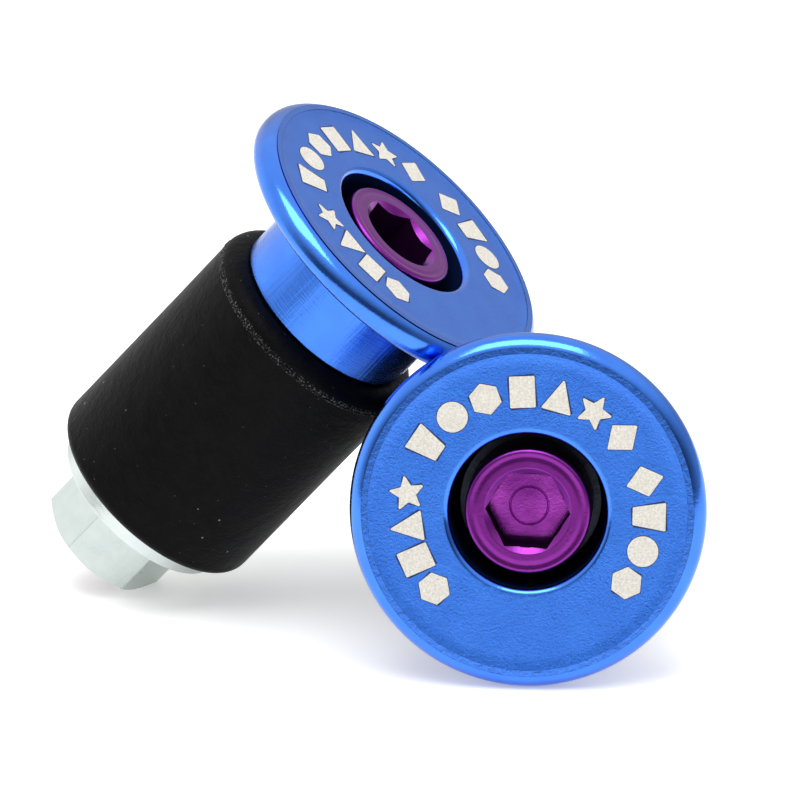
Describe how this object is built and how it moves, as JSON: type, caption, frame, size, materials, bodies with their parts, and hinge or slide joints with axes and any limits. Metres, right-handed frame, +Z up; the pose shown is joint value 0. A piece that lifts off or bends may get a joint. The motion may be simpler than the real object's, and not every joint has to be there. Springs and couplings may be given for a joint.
{
  "type": "handlebar end plugs",
  "caption": "Pair of expanding handlebar end plugs: a stop disc with a socket-head bolt that draws a nut up and squeezes a rubber sleeve out against the inside of the bar.",
  "frame": {"origin": "middle of the footprint of the two plugs on the surface they stand on", "axes": "+Z up; -Y is the side that the front plug faces; +X is to the right seen from that side, along the longest extent of the pair"},
  "size_m": [0.0542, 0.0434, 0.0424],
  "materials": {
    "anodised_blue": "turned aluminium, bright blue anodising, satin face and polished rim",
    "anodised_purple": "turned aluminium, purple anodising",
    "sleeve_rubber": "moulded black rubber, dull, with a flash line at the shoulder",
    "zinc_plate": "bright zinc-plated steel"
  },
  "bodies": {
    "front_cap_body": {"front_cap": "anodised_blue", "front_head_washer": "zinc_plate", "front_rubber_sleeve": "sleeve_rubber"},
    "front_bolt_body": {"front_bolt": "anodised_purple"},
    "front_nut_body": {"front_end_washer": "zinc_plate", "front_nut": "zinc_plate"},
    "rear_cap_body": {"rear_cap": "anodised_blue", "rear_head_washer": "zinc_plate", "rear_rubber_sleeve": "sleeve_rubber"},
    "rear_bolt_body": {"rear_bolt": "anodised_purple"},
    "rear_nut_body": {"rear_end_washer": "zinc_plate", "rear_nut": "zinc_plate"}
  },
  "joints": [
    {"name": "rear_plug_lift", "type": "slide", "parent": "front_cap_body", "child": "rear_cap_body", "axis": [0, 0, 1], "range_m": [0, 0.06]},
    {"name": "front_bolt_turn", "type": "hinge", "parent": "front_cap_body", "child": "front_bolt_body", "pos_m": [0.01253, -0.01897, 0.01449], "axis": [0.0517, 0.9866, -0.1546], "range_deg": [0, 1080]},
    {"name": "front_nut_draw", "type": "slide", "parent": "front_cap_body", "child": "front_nut_body", "axis": [-0.0517, -0.9866, 0.1546], "range_m": [0, 0.003], "deforming": ["front_rubber_sleeve"]},
    {"name": "rear_bolt_turn", "type": "hinge", "parent": "rear_cap_body", "child": "rear_bolt_body", "pos_m": [0.00224, -0.00242, 0.03298], "axis": [-0.6339, 0.206, -0.7455], "range_deg": [0, 1080]},
    {"name": "rear_nut_draw", "type": "slide", "parent": "rear_cap_body", "child": "rear_nut_body", "axis": [0.6339, -0.206, 0.7455], "range_m": [0, 0.003], "deforming": ["rear_rubber_sleeve"]}
  ],
  "couplings": [
    {"joint": "front_bolt_turn", "follows": "front_nut_draw", "rad_per_m": 6283},
    {"joint": "rear_bolt_turn", "follows": "rear_nut_draw", "rad_per_m": 6283}
  ]
}
